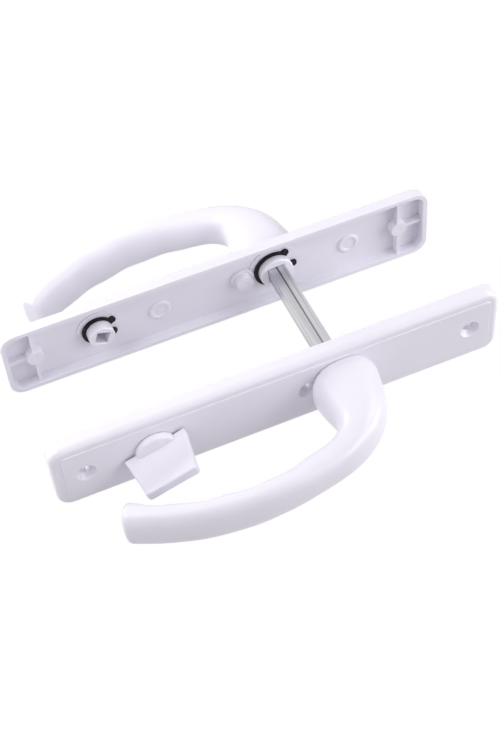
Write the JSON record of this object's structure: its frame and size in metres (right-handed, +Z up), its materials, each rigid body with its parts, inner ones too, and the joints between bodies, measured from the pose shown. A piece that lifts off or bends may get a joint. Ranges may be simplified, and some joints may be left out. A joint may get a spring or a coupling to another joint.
{
  "type": "bathroom door handle set",
  "caption": "Two-sided bathroom door handle: swept lever handles on long narrow plates joined by a square spindle, with a thumb turn inside and a coin-slot release outside.",
  "frame": {"origin": "on the lever axis, in the plane of the front plate's rim, where that plate meets the door", "axes": "+Z up the plates, +Y along the lever axis from the front plate through the door to the back plate, +X across the plates"},
  "size_m": [0.036, 0.1706, 0.205],
  "materials": {
    "white_paint": "smooth gloss white coating on die-cast metal",
    "plated_steel": "bright plated square bar with a fine seam",
    "black_clip": "black phosphated spring steel"
  },
  "bodies": {
    "front_plate": {"front_plate": "white_paint"},
    "front_lever": {"front_lever": "white_paint", "front_lever_clip": "black_clip", "spindle": "plated_steel"},
    "back_lever": {"back_lever": "white_paint", "back_lever_clip": "black_clip"},
    "back_plate": {"back_plate": "white_paint"},
    "thumb_turn": {"thumb_turn": "white_paint", "thumb_turn_clip": "black_clip"},
    "coin_release": {"coin_release": "white_paint", "coin_release_clip": "black_clip"}
  },
  "joints": [
    {"name": "lever_turn", "type": "hinge", "parent": "front_plate", "child": "front_lever", "pos_m": [0, 0, 0], "axis": [0, 1, 0], "range_deg": [-86, 94]},
    {"name": "back_lever_slide", "type": "slide", "parent": "front_lever", "child": "back_lever", "axis": [0, 1, 0], "range_m": [-0.0195, 0.004]},
    {"name": "back_plate_turn", "type": "hinge", "parent": "back_lever", "child": "back_plate", "pos_m": [0, 0.061, 0], "axis": [0, 1, 0], "range_deg": [-94, 86]},
    {"name": "thumb_turn", "type": "hinge", "parent": "front_plate", "child": "thumb_turn", "pos_m": [0, 0, -0.085], "axis": [0, 1, 0], "range_deg": [-74, 16]},
    {"name": "release_turn", "type": "hinge", "parent": "back_plate", "child": "coin_release", "pos_m": [0, 0.061, -0.085], "axis": [0, 1, 0], "range_deg": [-20, 70]}
  ],
  "couplings": [
    {"joint": "back_plate_turn", "follows": "lever_turn", "ratio": -1}
  ]
}
